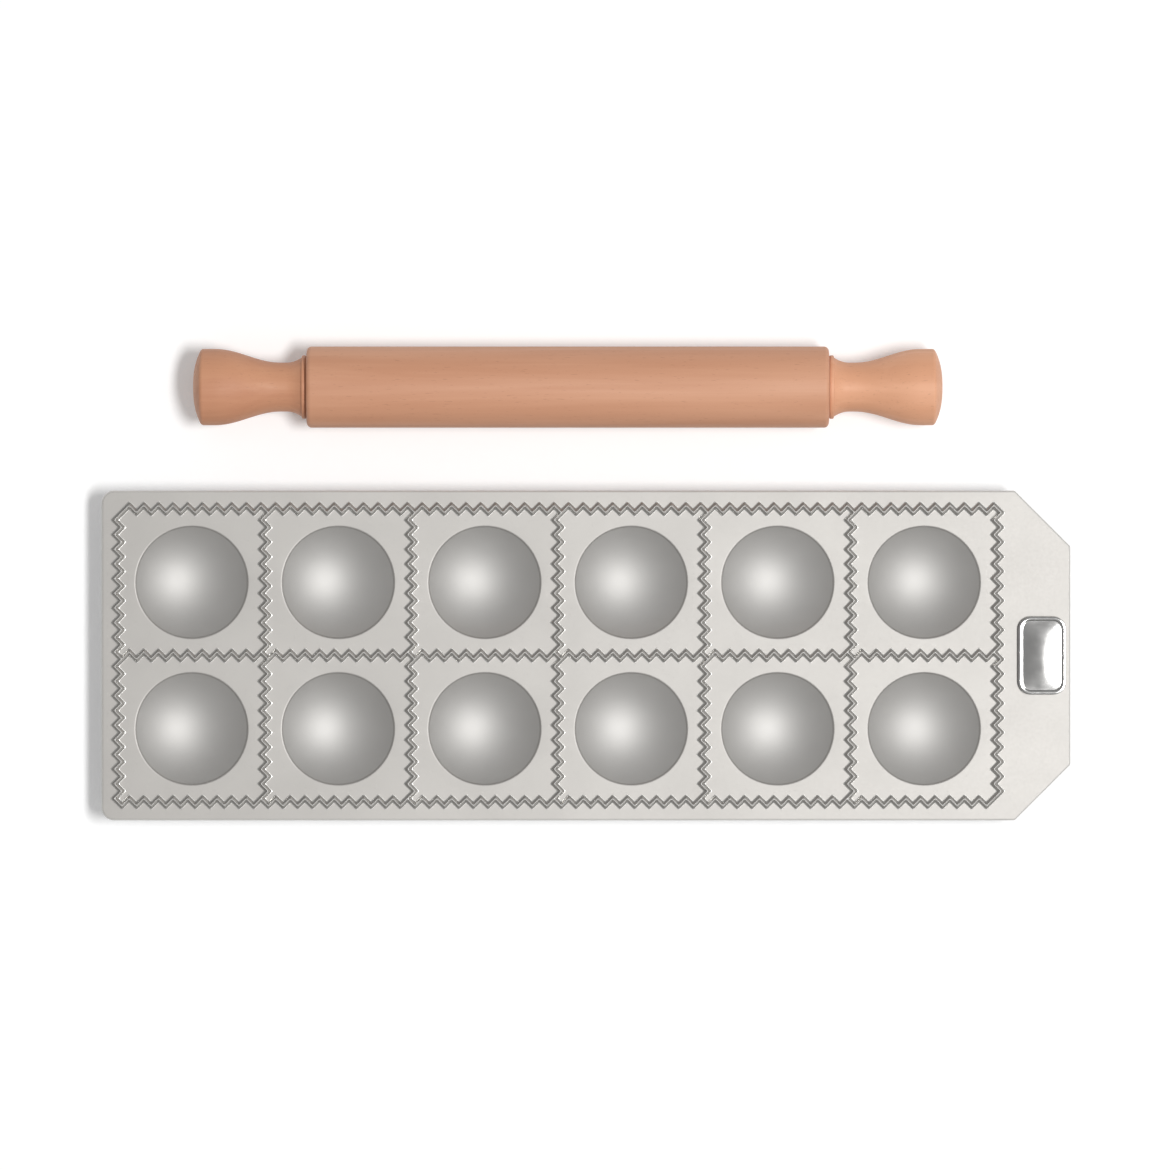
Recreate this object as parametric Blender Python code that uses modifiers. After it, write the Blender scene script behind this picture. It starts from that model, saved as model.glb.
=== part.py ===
"""Ravioli mould: a cast tray of bowls with toothed ridges on a folded steel base, and its rolling pin.

Metres, +Z up. The origin is under the middle of the set, on the table. +X runs along the tray
towards the badge, and +Y from the tray towards the rolling pin.
"""

import math

import bmesh
import bpy
from mathutils import Matrix, Vector

# Clearances
GAP = 0.0003
MERGE = 0.00001

# Pattern of the tray
COLUMNS = 6
ROWS = 2
CELL = 0.0460
TEETH_PER_CELL = 10
RIDGE_HEIGHT = 0.0019
RIDGE_BASE = 0.00165
RIDGE_CREST = 0.0005

# Tray
END_MARGIN = 0.0053
SIDE_MARGIN = 0.0058
TONGUE = 0.0230
TONGUE_CUT = 0.0175
TRAY_CORNER = 0.0040
PLATE = 0.0025
PLATE_EDGE = 0.0006
BOWL_DIAMETER = 0.0352
BOWL_DEPTH = 0.0085
CUP_WALL = 0.0018

# Steel base
SHEET = 0.0010
BASE_HEIGHT = 0.0098
BASE_INSET = 0.0020
BASE_OVERRUN = 0.0045
BASE_CORNER = 0.0040
BEND = 0.0015
LIP = 0.0030
FOOT_TAB = 0.0180
CUP_CLEARANCE = 0.0006
WINDOW_CORNER = 0.0120

# Rubber feet
FOOT_INSET = 0.0080
FOOT_RADIUS = 0.0050
FOOT_PAD = 0.0020
FOOT_EDGE = 0.0005
FOOT_NECK_RADIUS = 0.0023
FOOT_HEAD_RADIUS = 0.0036
FOOT_TIP_RADIUS = 0.0020
FOOT_HEAD = 0.0024

# Screws and their bosses
BOSS_RADIUS = 0.0040
BOSS_FROM_EDGE = 0.0108
SCREW_RADIUS = 0.0015
SCREW_HEAD_RADIUS = 0.0050
SCREW_HEAD = 0.0016
SCREW_HEAD_EDGE = 0.0004
SCREW_SLOT_WIDTH = 0.0010
SCREW_SLOT_DEPTH = 0.0008
SCREW_ROOF = 0.0010

# Badge and its clips
BADGE_WIDTH = 0.0150
BADGE_LENGTH = 0.0245
BADGE_CORNER = 0.0040
BADGE_THICKNESS = 0.0015
BADGE_RIM = 0.0011
BADGE_RECESS = 0.0005
BADGE_EDGE = 0.0003
BADGE_FROM_END = 0.0015
BADGE_PIN_RADIUS = 0.0010
BADGE_PIN_SPACING = 0.0150
BADGE_PIN_PROUD = 0.0022
CLIP_RADIUS = 0.0035
CLIP_COLLAR = 0.0019
CLIP_THICKNESS = 0.0004
CLIP_RISE = 0.0007

# Rolling pin
PIN_SPACE = 0.0198
PIN_SHIFT = -0.0057
BARREL_RADIUS = 0.01275
BARREL_LENGTH = 0.1640
BARREL_EDGE = 0.0012
AXLE_RADIUS = 0.0030
AXLE_GRIP = 0.0220
AXLE_EDGE = 0.0004
BUSH_RADIUS = 0.0050
BUSH_LENGTH = 0.0100
BUSH_FLANGE_RADIUS = 0.0075
BUSH_FLANGE = 0.0012
END_GAP = 0.0004
HANDLE_LENGTH = 0.0353
COLLAR_RADIUS = 0.0100
COLLAR_LENGTH = 0.0012
FLARE_RADIUS = 0.0093
NECK_RADIUS = 0.0079
NECK_AT = 0.0078
SWELL_RADIUS = 0.0120
SWELL_AT = 0.0285
TIP_DOME = 0.0026
TIP_EDGE = 0.0008

# Facets
CORNER_STEPS = 3
EDGE_STEPS = 2
BOWL_SEGMENTS = 20
BOWL_RINGS = 14
CUP_SEGMENTS = 16
CUP_RINGS = 12
SMALL_SEGMENTS = 16
PIN_SEGMENTS = 24
NECK_STEPS = 3
SWELL_STEPS = 6
TIP_STEPS = 3
SMOOTH_ANGLE = math.radians(35)

# Places along X and Y, from the middle of the tray
TRAY_LENGTH = END_MARGIN + COLUMNS * CELL + TONGUE
TRAY_WIDTH = ROWS * CELL + 2 * SIDE_MARGIN
TRAY_LEFT = -TRAY_LENGTH / 2
TRAY_RIGHT = TRAY_LENGTH / 2
PATTERN_LEFT = TRAY_LEFT + END_MARGIN
PATTERN_RIGHT = PATTERN_LEFT + COLUMNS * CELL
PATTERN_MIDDLE = (PATTERN_LEFT + PATTERN_RIGHT) / 2
TOOTH_PITCH = CELL / TEETH_PER_CELL
BASE_LEFT = TRAY_LEFT + BASE_INSET
BASE_RIGHT = PATTERN_RIGHT + BASE_OVERRUN
BASE_SIDE = TRAY_WIDTH / 2 - BASE_INSET
BADGE_X = TRAY_RIGHT - BADGE_FROM_END - BADGE_WIDTH / 2
SCREW_LINES = range(1, COLUMNS, 2)

# Heights above the table
LIP_LOW = FOOT_PAD + GAP
LIP_HIGH = LIP_LOW + SHEET
FLANGE_HIGH = LIP_LOW + BASE_HEIGHT
FLANGE_LOW = FLANGE_HIGH - SHEET
PLATE_LOW = FLANGE_HIGH + GAP
PLATE_HIGH = PLATE_LOW + PLATE
RIDGE_HIGH = PLATE_HIGH + RIDGE_HEIGHT
BOSS_LOW = FLANGE_LOW + GAP

# Bowls: one sphere for the hollow and one for the outside of the cup, about the same centre
BOWL_RADIUS = ((BOWL_DIAMETER / 2) ** 2 + BOWL_DEPTH ** 2) / (2 * BOWL_DEPTH)
BOWL_CENTRE_Z = PLATE_HIGH - BOWL_DEPTH + BOWL_RADIUS
CUP_RADIUS = BOWL_RADIUS + CUP_WALL
CUP_REACH = math.sqrt(CUP_RADIUS ** 2 - (BOWL_CENTRE_Z - PLATE_LOW) ** 2)

# The set on the table
SET_WIDTH = TRAY_WIDTH + PIN_SPACE + 2 * BARREL_RADIUS
TRAY_Y = -SET_WIDTH / 2 + TRAY_WIDTH / 2
PIN_Y = SET_WIDTH / 2 - BARREL_RADIUS


# Scene and materials

def clear_scene():
    """Remove every object that the opened file holds."""
    for item in list(bpy.data.objects):
        bpy.data.objects.remove(item, do_unlink=True)


def add_collection(name):
    """New collection under the scene's own."""
    collection = bpy.data.collections.new(name)
    bpy.context.scene.collection.children.link(collection)
    return collection


def finish(name, colour, roughness, metallic):
    """Principled material of one colour, roughness and metallic value."""
    material = bpy.data.materials.new(name)
    material.use_nodes = True
    shader = material.node_tree.nodes["Principled BSDF"]
    shader.inputs["Base Color"].default_value = (*colour, 1.0)
    shader.inputs["Roughness"].default_value = roughness
    shader.inputs["Metallic"].default_value = metallic
    return material


def add_anchor(name, place):
    """Empty that carries pieces, at the given place."""
    anchor = bpy.data.objects.new(name, None)
    anchor.location = place
    PARTS.objects.link(anchor)
    return anchor


def shade_round(mesh):
    """Smooth shading on round faces, with the sharper edges kept."""
    mesh.shade_smooth()
    mesh.set_sharp_from_angle(angle=SMOOTH_ANGLE)


def add_piece(name, mesh, material, anchor):
    """Sub-part of the set, carried by an anchor."""
    mesh.materials.clear()
    mesh.materials.append(material)
    piece = bpy.data.objects.new(name, mesh)
    piece.parent = anchor
    PARTS.objects.link(piece)
    return piece


def add_tool(name, mesh, anchor):
    """Shape that cuts a piece or is joined to it, and isn't a piece itself."""
    tool = bpy.data.objects.new(name, mesh)
    tool.parent = anchor
    tool.hide_render = True
    tool.display_type = "WIRE"
    TOOLS.objects.link(tool)
    return tool


def combine(piece, operation, tool):
    """Join the tool to the piece (UNION) or cut the piece with it (DIFFERENCE)."""
    boolean = piece.modifiers.new(tool.name, "BOOLEAN")
    boolean.operation = operation
    boolean.solver = "EXACT"
    boolean.object = tool


def round_edges(item, width):
    """Rounded bevel on the edges that are sharper than the smoothing angle."""
    bevel = item.modifiers.new("edges", "BEVEL")
    bevel.width = width
    bevel.segments = EDGE_STEPS
    bevel.limit_method = "ANGLE"
    bevel.angle_limit = SMOOTH_ANGLE


# Outlines and meshes

def rounded_outline(corners):
    """Closed outline through the corners (x, y, radius), with an arc where the radius isn't zero."""
    outline = []
    for index, (x, y, radius) in enumerate(corners):
        corner = Vector((x, y))
        back = (Vector(corners[index - 1][:2]) - corner).normalized()
        ahead = (Vector(corners[(index + 1) % len(corners)][:2]) - corner).normalized()
        half_angle = back.angle(ahead) / 2
        centre = corner + (back + ahead).normalized() * radius / math.sin(half_angle)
        start = corner + back * radius / math.tan(half_angle) - centre
        turn = math.pi - 2 * half_angle
        steps = CORNER_STEPS if radius else 0
        for step in range(steps + 1):
            share = step / steps if steps else 0
            outline.append(centre + Matrix.Rotation(turn * share, 2) @ start)
    return outline


def rectangle(left, right, front, back, radius):
    """Rectangle with four equal rounded corners, counter-clockwise."""
    corners = [(left, front, radius), (right, front, radius), (right, back, radius), (left, back, radius)]
    return rounded_outline(corners)


def toothed_outline(width, depth):
    """Closed outline about its middle, counter-clockwise, with square teeth set corner out on its sides.

    The second half of the outline is the first one turned half round. Where two such outlines
    meet, they share the tooth flank that crosses the meeting point.
    """
    reach = TOOTH_PITCH / 4
    half = []
    for step in range(2 * round(width / TOOTH_PITCH) - 1):
        side = reach if step % 2 else -reach
        half.append(Vector((-width / 2 + (2 * step + 1) * reach, -depth / 2 + side)))
    for step in range(2 * round(depth / TOOTH_PITCH) - 1):
        side = -reach if step % 2 else reach
        half.append(Vector((width / 2 + side, -depth / 2 + (2 * step + 3) * reach)))
    return half + [-point for point in half]


def offset_outline(outline, distance):
    """Outline moved out by a distance, or in where it is negative, with its corners kept sharp."""
    moved = []
    for index, point in enumerate(outline):
        before = (point - outline[index - 1]).normalized()
        after = (outline[(index + 1) % len(outline)] - point).normalized()
        normal_before = Vector((before.y, -before.x))
        normal_after = Vector((after.y, -after.x))
        spread = distance / (1 + normal_before.dot(normal_after))
        moved.append(point + (normal_before + normal_after) * spread)
    return moved


def flat_mesh(name, outlines, low, high):
    """Closed mesh between two heights, from a filled 2D curve with one spline for each outline."""
    curve = bpy.data.curves.new(name, "CURVE")
    curve.dimensions = "2D"
    curve.fill_mode = "BOTH"
    curve.extrude = (high - low) / 2
    for outline in outlines:
        spline = curve.splines.new("POLY")
        spline.points.add(len(outline) - 1)
        for point, (x, y) in zip(spline.points, outline):
            point.co = (x, y, 0, 1)
        spline.use_cyclic_u = True
    guide = bpy.data.objects.new(name, curve)
    TOOLS.objects.link(guide)
    guide.location.z = (low + high) / 2
    depsgraph = bpy.context.evaluated_depsgraph_get()
    mesh = bpy.data.meshes.new_from_object(guide.evaluated_get(depsgraph))
    shape = bmesh.new()
    shape.from_mesh(mesh)
    bmesh.ops.remove_doubles(shape, verts=shape.verts, dist=MERGE)
    bmesh.ops.transform(shape, matrix=guide.matrix_world, verts=shape.verts)
    shape.to_mesh(mesh)
    shape.free()
    bpy.data.objects.remove(guide)
    return mesh


def toothed_mesh(name, outline, places, levels):
    """Closed prisms with sloping flanks, one at each place, from levels (height, offset of the outline)."""
    shape = bmesh.new()
    sections = [(height, offset_outline(outline, offset)) for height, offset in levels]
    for place in places:
        rings = []
        for height, section in sections:
            rings.append([shape.verts.new((place.x + x, place.y + y, height)) for x, y in section])
        bottom, top = rings
        shape.faces.new(reversed(bottom))
        shape.faces.new(top)
        for index in range(len(bottom)):
            shape.faces.new((bottom[index - 1], bottom[index], top[index], top[index - 1]))
    mesh = bpy.data.meshes.new(name)
    shape.to_mesh(mesh)
    shape.free()
    return mesh


def spheres_mesh(name, places, radius, segments, rings, cut_height):
    """Spheres at the places, or only their caps below the cut height, closed."""
    shape = bmesh.new()
    for place in places:
        matrix = Matrix.Translation(place)
        bmesh.ops.create_uvsphere(shape, u_segments=segments, v_segments=rings, radius=radius, matrix=matrix)
    if cut_height is not None:
        everything = shape.verts[:] + shape.edges[:] + shape.faces[:]
        bmesh.ops.bisect_plane(
            shape, geom=everything, plane_co=(0, 0, cut_height), plane_no=(0, 0, 1), clear_outer=True)
        bmesh.ops.holes_fill(shape, edges=[edge for edge in shape.edges if edge.is_boundary])
    mesh = bpy.data.meshes.new(name)
    shape.to_mesh(mesh)
    shape.free()
    shade_round(mesh)
    return mesh


def cylinders_mesh(name, places, radius, low, high):
    """Upright cylinders at the places, between two heights."""
    shape = bmesh.new()
    for place in places:
        matrix = Matrix.Translation((place.x, place.y, (low + high) / 2))
        bmesh.ops.create_cone(
            shape, cap_ends=True, segments=SMALL_SEGMENTS, radius1=radius, radius2=radius,
            depth=high - low, matrix=matrix)
    mesh = bpy.data.meshes.new(name)
    shape.to_mesh(mesh)
    shape.free()
    return mesh


def baked_mesh(item):
    """Mesh of an object with its modifiers applied."""
    depsgraph = bpy.context.evaluated_depsgraph_get()
    return bpy.data.meshes.new_from_object(item.evaluated_get(depsgraph))


def turned_mesh(name, profile, segments):
    """Mesh turned about Z from a profile (radius, height) that runs down its outer side.

    A profile that starts or ends off the axis is closed along its bore.
    """
    bored = profile[0][0] > 0
    count = len(profile)
    edges = [(index, index + 1) for index in range(count - 1)]
    if bored:
        edges.append((count - 1, 0))
    outline = bpy.data.meshes.new(name)
    outline.from_pydata([(radius, 0, height) for radius, height in profile], edges, [])
    guide = bpy.data.objects.new(name, outline)
    TOOLS.objects.link(guide)
    screw = guide.modifiers.new("turn", "SCREW")
    screw.steps = segments
    screw.render_steps = segments
    screw.use_merge_vertices = True
    screw.merge_threshold = MERGE
    mesh = baked_mesh(guide)
    bpy.data.objects.remove(guide)
    shade_round(mesh)
    return mesh


# Tray

def cell_places():
    """Middle of each cell, at the height of the centre of its bowl."""
    places = []
    for row in range(ROWS):
        for column in range(COLUMNS):
            x = PATTERN_LEFT + (column + 0.5) * CELL
            y = (row + 0.5 - ROWS / 2) * CELL
            places.append(Vector((x, y, BOWL_CENTRE_Z)))
    return places


def screw_places():
    """Middle of each screw, front row first, on the lines between columns that carry a strap."""
    side = TRAY_WIDTH / 2 - BOSS_FROM_EDGE
    return [Vector((PATTERN_LEFT + line * CELL, y)) for y in (-side, side) for line in SCREW_LINES]


def badge_pin_places():
    """Middle of each pin of the badge."""
    return [Vector((BADGE_X, y)) for y in (-BADGE_PIN_SPACING / 2, BADGE_PIN_SPACING / 2)]


def ridge_levels(low, high, side):
    """Heights and outline offsets of a flank that slopes from the ridge's base to its crest."""
    slope = (RIDGE_BASE - RIDGE_CREST) / 2 / RIDGE_HEIGHT
    return [(height, side * (RIDGE_BASE / 2 - slope * (height - PLATE_HIGH))) for height in (low, high)]


def make_plate(anchor):
    """Cast plate: slab, ridges round each cell, cups that hang below, bosses and holes."""
    front, back = -TRAY_WIDTH / 2, TRAY_WIDTH / 2
    outline = rounded_outline([
        (TRAY_LEFT, front, TRAY_CORNER),
        (TRAY_RIGHT - TONGUE_CUT, front, 0),
        (TRAY_RIGHT, front + TONGUE_CUT, 0),
        (TRAY_RIGHT, back - TONGUE_CUT, 0),
        (TRAY_RIGHT - TONGUE_CUT, back, 0),
        (TRAY_LEFT, back, TRAY_CORNER)])
    plate = add_piece(
        "mould_plate", flat_mesh("mould_plate", [outline], PLATE_LOW, PLATE_HIGH), ALUMINIUM, anchor)
    round_edges(plate, PLATE_EDGE)

    middle = Vector((PATTERN_MIDDLE, 0, 0))
    field = toothed_mesh(
        "ridge_field", toothed_outline(COLUMNS * CELL, ROWS * CELL), [middle],
        ridge_levels(PLATE_LOW + PLATE / 2, RIDGE_HIGH, 1))
    combine(plate, "UNION", add_tool("ridge_field", field, anchor))
    pockets = toothed_mesh(
        "cell_pockets", toothed_outline(CELL, CELL), cell_places(),
        ridge_levels(PLATE_HIGH, RIDGE_HIGH + GAP, -1))
    combine(plate, "DIFFERENCE", add_tool("cell_pockets", pockets, anchor))

    cups = spheres_mesh(
        "cups", cell_places(), CUP_RADIUS, CUP_SEGMENTS, CUP_RINGS, PLATE_LOW + PLATE / 3)
    combine(plate, "UNION", add_tool("cups", cups, anchor))
    bosses = cylinders_mesh("bosses", screw_places(), BOSS_RADIUS, BOSS_LOW, PLATE_LOW + PLATE / 2)
    combine(plate, "UNION", add_tool("bosses", bosses, anchor))
    bowls = spheres_mesh("bowls", cell_places(), BOWL_RADIUS, BOWL_SEGMENTS, BOWL_RINGS, None)
    combine(plate, "DIFFERENCE", add_tool("bowls", bowls, anchor))
    screw_holes = cylinders_mesh(
        "screw_holes", screw_places(), SCREW_RADIUS + GAP, BOSS_LOW - GAP, PLATE_HIGH - SCREW_ROOF)
    combine(plate, "DIFFERENCE", add_tool("screw_holes", screw_holes, anchor))
    badge_holes = cylinders_mesh(
        "badge_holes", badge_pin_places(), BADGE_PIN_RADIUS + GAP, PLATE_LOW - GAP, PLATE_HIGH + GAP)
    combine(plate, "DIFFERENCE", add_tool("badge_holes", badge_holes, anchor))


# Steel base

def window_outlines():
    """Windows in the flange for the cups, between the straps that the screws go through."""
    reach = CUP_REACH + CUP_CLEARANCE
    lines = [0, *SCREW_LINES, COLUMNS]
    side = (ROWS - 1) / 2 * CELL + reach
    windows = []
    for first, last in zip(lines, lines[1:]):
        left = PATTERN_LEFT + (first + 0.5) * CELL - reach
        right = PATTERN_LEFT + (last - 0.5) * CELL + reach
        windows.append(rectangle(left, right, -side, side, WINDOW_CORNER))
    return windows


def mouth_outline():
    """Opening under the base: all of it but the narrow lips and a tab for a foot at each corner."""
    left, right, side = BASE_LEFT + LIP, BASE_RIGHT - LIP, BASE_SIDE - LIP
    return [
        (left + FOOT_TAB, -side),
        (right - FOOT_TAB, -side),
        (right, -side + FOOT_TAB),
        (right, side - FOOT_TAB),
        (right - FOOT_TAB, side),
        (left + FOOT_TAB, side),
        (left, side - FOOT_TAB),
        (left, -side + FOOT_TAB)]


def foot_places():
    """Middle of each foot, on the corner tabs of the base."""
    left, right, side = BASE_LEFT + FOOT_INSET, BASE_RIGHT - FOOT_INSET, BASE_SIDE - FOOT_INSET
    return {
        "foot_front_left": Vector((left, -side)),
        "foot_front_right": Vector((right, -side)),
        "foot_back_left": Vector((left, side)),
        "foot_back_right": Vector((right, side))}


def make_base(anchor):
    """Folded steel base: flange with windows, walls, narrow lips and a tab for each foot."""
    outer = rectangle(BASE_LEFT, BASE_RIGHT, -BASE_SIDE, BASE_SIDE, BASE_CORNER)
    shell = flat_mesh("base_frame", [outer], LIP_LOW, FLANGE_HIGH)
    shade_round(shell)
    base = add_piece("base_frame", shell, CHROME, anchor)
    round_edges(base, BEND)
    hollow = flat_mesh("base_inside", [offset_outline(outer, -SHEET)], LIP_HIGH, FLANGE_LOW)
    shade_round(hollow)
    inside = add_tool("base_inside", hollow, anchor)
    round_edges(inside, BEND - SHEET)
    combine(base, "DIFFERENCE", inside)

    mouth = flat_mesh("base_mouth", [mouth_outline()], LIP_LOW - GAP, LIP_HIGH + GAP)
    combine(base, "DIFFERENCE", add_tool("base_mouth", mouth, anchor))
    windows = flat_mesh("windows", window_outlines(), FLANGE_LOW - GAP, FLANGE_HIGH + GAP)
    combine(base, "DIFFERENCE", add_tool("windows", windows, anchor))
    boss_holes = cylinders_mesh(
        "boss_holes", screw_places(), BOSS_RADIUS + GAP, FLANGE_LOW - GAP, FLANGE_HIGH + GAP)
    combine(base, "DIFFERENCE", add_tool("boss_holes", boss_holes, anchor))
    foot_holes = cylinders_mesh(
        "foot_holes", foot_places().values(), FOOT_NECK_RADIUS + GAP, LIP_LOW - GAP, LIP_HIGH + GAP)
    combine(base, "DIFFERENCE", add_tool("foot_holes", foot_holes, anchor))


def make_feet(anchor):
    """Rubber feet: a pad on the table, a neck through the lip and a head that holds it."""
    head_low = LIP_HIGH + GAP
    profile = [
        (0, head_low + FOOT_HEAD),
        (FOOT_TIP_RADIUS, head_low + FOOT_HEAD),
        (FOOT_HEAD_RADIUS, head_low),
        (FOOT_NECK_RADIUS, head_low),
        (FOOT_NECK_RADIUS, FOOT_PAD),
        (FOOT_RADIUS, FOOT_PAD),
        (FOOT_RADIUS, FOOT_EDGE),
        (FOOT_RADIUS - FOOT_EDGE, 0),
        (0, 0)]
    mesh = turned_mesh("foot", profile, SMALL_SEGMENTS)
    for name, place in foot_places().items():
        foot = add_piece(name, mesh, RUBBER, anchor)
        foot.location = (place.x, place.y, 0)


def make_screws(anchor):
    """Screws with wide slotted heads, from below through the flange into the bosses."""
    head_high = FLANGE_LOW - GAP
    head_low = head_high - SCREW_HEAD
    tip = PLATE_HIGH - SCREW_ROOF - GAP
    profile = [
        (0, tip),
        (SCREW_RADIUS, tip),
        (SCREW_RADIUS, head_high),
        (SCREW_HEAD_RADIUS, head_high),
        (SCREW_HEAD_RADIUS, head_low + SCREW_HEAD_EDGE),
        (SCREW_HEAD_RADIUS - SCREW_HEAD_EDGE, head_low),
        (0, head_low)]
    blank = add_tool("screw_blank", turned_mesh("screw", profile, SMALL_SEGMENTS), anchor)
    slot_side = SCREW_SLOT_WIDTH / 2
    slot_end = SCREW_HEAD_RADIUS + GAP
    slot_outline = rectangle(-slot_end, slot_end, -slot_side, slot_side, 0)
    slot = flat_mesh("screw_slot", [slot_outline], head_low - GAP, head_low + SCREW_SLOT_DEPTH)
    combine(blank, "DIFFERENCE", add_tool("screw_slot", slot, anchor))
    mesh = baked_mesh(blank)
    names = [f"screw_{side}_{number + 1}" for side in ("front", "back") for number in range(len(SCREW_LINES))]
    for name, place in zip(names, screw_places()):
        screw = add_piece(name, mesh, ZINC, anchor)
        screw.location = (place.x, place.y, 0)


# Badge

def make_badge(anchor):
    """Bare badge with a raised rim, on two pins that go through the tongue."""
    low = PLATE_HIGH + GAP
    high = low + BADGE_THICKNESS
    side = BADGE_WIDTH / 2
    end = BADGE_LENGTH / 2
    outline = rectangle(BADGE_X - side, BADGE_X + side, -end, end, BADGE_CORNER)
    badge = add_piece("badge", flat_mesh("badge", [outline], low, high), CHROME, anchor)
    round_edges(badge, BADGE_EDGE)
    field = flat_mesh("badge_field", [offset_outline(outline, -BADGE_RIM)], high - BADGE_RECESS, high + GAP)
    combine(badge, "DIFFERENCE", add_tool("badge_field", field, anchor))
    pins = cylinders_mesh(
        "badge_pins", badge_pin_places(), BADGE_PIN_RADIUS, PLATE_LOW - BADGE_PIN_PROUD,
        low + (BADGE_THICKNESS - BADGE_RECESS) / 2)
    combine(badge, "UNION", add_tool("badge_pins", pins, anchor))


def make_clips(anchor):
    """Push-on spring clips on the badge's pins: a coned ring that presses up against the tongue."""
    high = PLATE_LOW - GAP
    bore = BADGE_PIN_RADIUS + GAP
    profile = [
        (CLIP_RADIUS, high),
        (CLIP_RADIUS, high - CLIP_THICKNESS),
        (CLIP_COLLAR, high - CLIP_RISE - CLIP_THICKNESS),
        (bore, high - CLIP_RISE - CLIP_THICKNESS),
        (bore, high - CLIP_RISE),
        (CLIP_COLLAR, high - CLIP_RISE)]
    mesh = turned_mesh("clip", profile, SMALL_SEGMENTS)
    for name, place in zip(("badge_clip_front", "badge_clip_back"), badge_pin_places()):
        clip = add_piece(name, mesh, ZINC, anchor)
        clip.location = (place.x, place.y, 0)


# Rolling pin

def ease(share):
    """Half a cosine wave, from 0 to 1."""
    return (1 - math.cos(math.pi * share)) / 2


def round_corner(radius, height, size):
    """Points of a profile down a rounded outer corner, from its flat end to its round side."""
    points = []
    for step in range(EDGE_STEPS + 1):
        angle = math.pi / 2 * (1 - step / EDGE_STEPS)
        points.append((radius - size * (1 - math.cos(angle)), height - size * (1 - math.sin(angle))))
    return points


def handle_profile():
    """Radius and height of a handle from its domed tip down to its collar, then up its bore."""
    rim = SWELL_RADIUS - TIP_EDGE
    rim_height = HANDLE_LENGTH - TIP_DOME
    points = []
    for step in range(TIP_STEPS):
        share = step / TIP_STEPS
        points.append((rim * share, HANDLE_LENGTH - TIP_DOME * share ** 2))
    points += round_corner(SWELL_RADIUS, rim_height, TIP_EDGE)
    for step in range(SWELL_STEPS):
        share = step / SWELL_STEPS
        radius = SWELL_RADIUS + (NECK_RADIUS - SWELL_RADIUS) * ease(share)
        points.append((radius, SWELL_AT + (NECK_AT - SWELL_AT) * share))
    for step in range(NECK_STEPS + 1):
        share = step / NECK_STEPS
        radius = NECK_RADIUS + (FLARE_RADIUS - NECK_RADIUS) * share ** 2
        points.append((radius, NECK_AT + (COLLAR_LENGTH - NECK_AT) * share))
    bore = AXLE_RADIUS + GAP
    bore_end = AXLE_GRIP - END_GAP + GAP
    return points + [
        (COLLAR_RADIUS, COLLAR_LENGTH),
        (COLLAR_RADIUS, 0),
        (bore, 0),
        (bore, bore_end),
        (0, bore_end)]


def place_along_x(piece, x, turn):
    """Lay a turned piece with its Z axis along the rolling pin, pointing right (1) or left (-1)."""
    piece.location = (x, 0, 0)
    piece.rotation_euler = (0, turn * math.pi / 2, 0)


def make_barrel(anchor):
    """Turned barrel, bored for the axle and recessed at both ends for the bushes."""
    end = BARREL_LENGTH / 2
    bore = AXLE_RADIUS + GAP
    seat = BUSH_RADIUS + GAP
    seat_end = end - BUSH_LENGTH - GAP
    flange_seat = BUSH_FLANGE_RADIUS + GAP
    flange_end = end - BUSH_FLANGE - GAP
    upper = [
        (bore, seat_end),
        (seat, seat_end),
        (seat, flange_end),
        (flange_seat, flange_end),
        (flange_seat, end),
        *round_corner(BARREL_RADIUS, end, BARREL_EDGE)]
    lower = [(radius, -height) for radius, height in reversed(upper)]
    barrel = add_piece("pin_barrel", turned_mesh("pin_barrel", upper + lower, PIN_SEGMENTS), BEECH, anchor)
    place_along_x(barrel, 0, 1)


def make_bushes(anchor):
    """Flanged bushes that carry the barrel on the axle."""
    bore = AXLE_RADIUS + GAP
    profile = [
        (BUSH_FLANGE_RADIUS, 0),
        (BUSH_FLANGE_RADIUS, -BUSH_FLANGE),
        (BUSH_RADIUS, -BUSH_FLANGE),
        (BUSH_RADIUS, -BUSH_LENGTH),
        (bore, -BUSH_LENGTH),
        (bore, 0)]
    mesh = turned_mesh("bush", profile, SMALL_SEGMENTS)
    for name, turn in (("bush_left", -1), ("bush_right", 1)):
        place_along_x(add_piece(name, mesh, NYLON, anchor), turn * BARREL_LENGTH / 2, turn)


def make_axle(anchor):
    """Steel rod through the barrel, with a chamfer at each end, blind in both handles."""
    end = BARREL_LENGTH / 2 + AXLE_GRIP
    upper = [(0, end), (AXLE_RADIUS - AXLE_EDGE, end), (AXLE_RADIUS, end - AXLE_EDGE)]
    lower = [(radius, -height) for radius, height in reversed(upper)]
    axle = add_piece("pin_axle", turned_mesh("pin_axle", upper + lower, SMALL_SEGMENTS), STEEL, anchor)
    place_along_x(axle, 0, 1)


def make_handles(anchor):
    """Two equal turned handles, a running gap away from the barrel."""
    mesh = turned_mesh("pin_handle", handle_profile(), PIN_SEGMENTS)
    for name, turn in (("pin_handle_left", -1), ("pin_handle_right", 1)):
        handle = add_piece(name, mesh, BEECH, anchor)
        place_along_x(handle, turn * (BARREL_LENGTH / 2 + END_GAP), turn)


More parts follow.
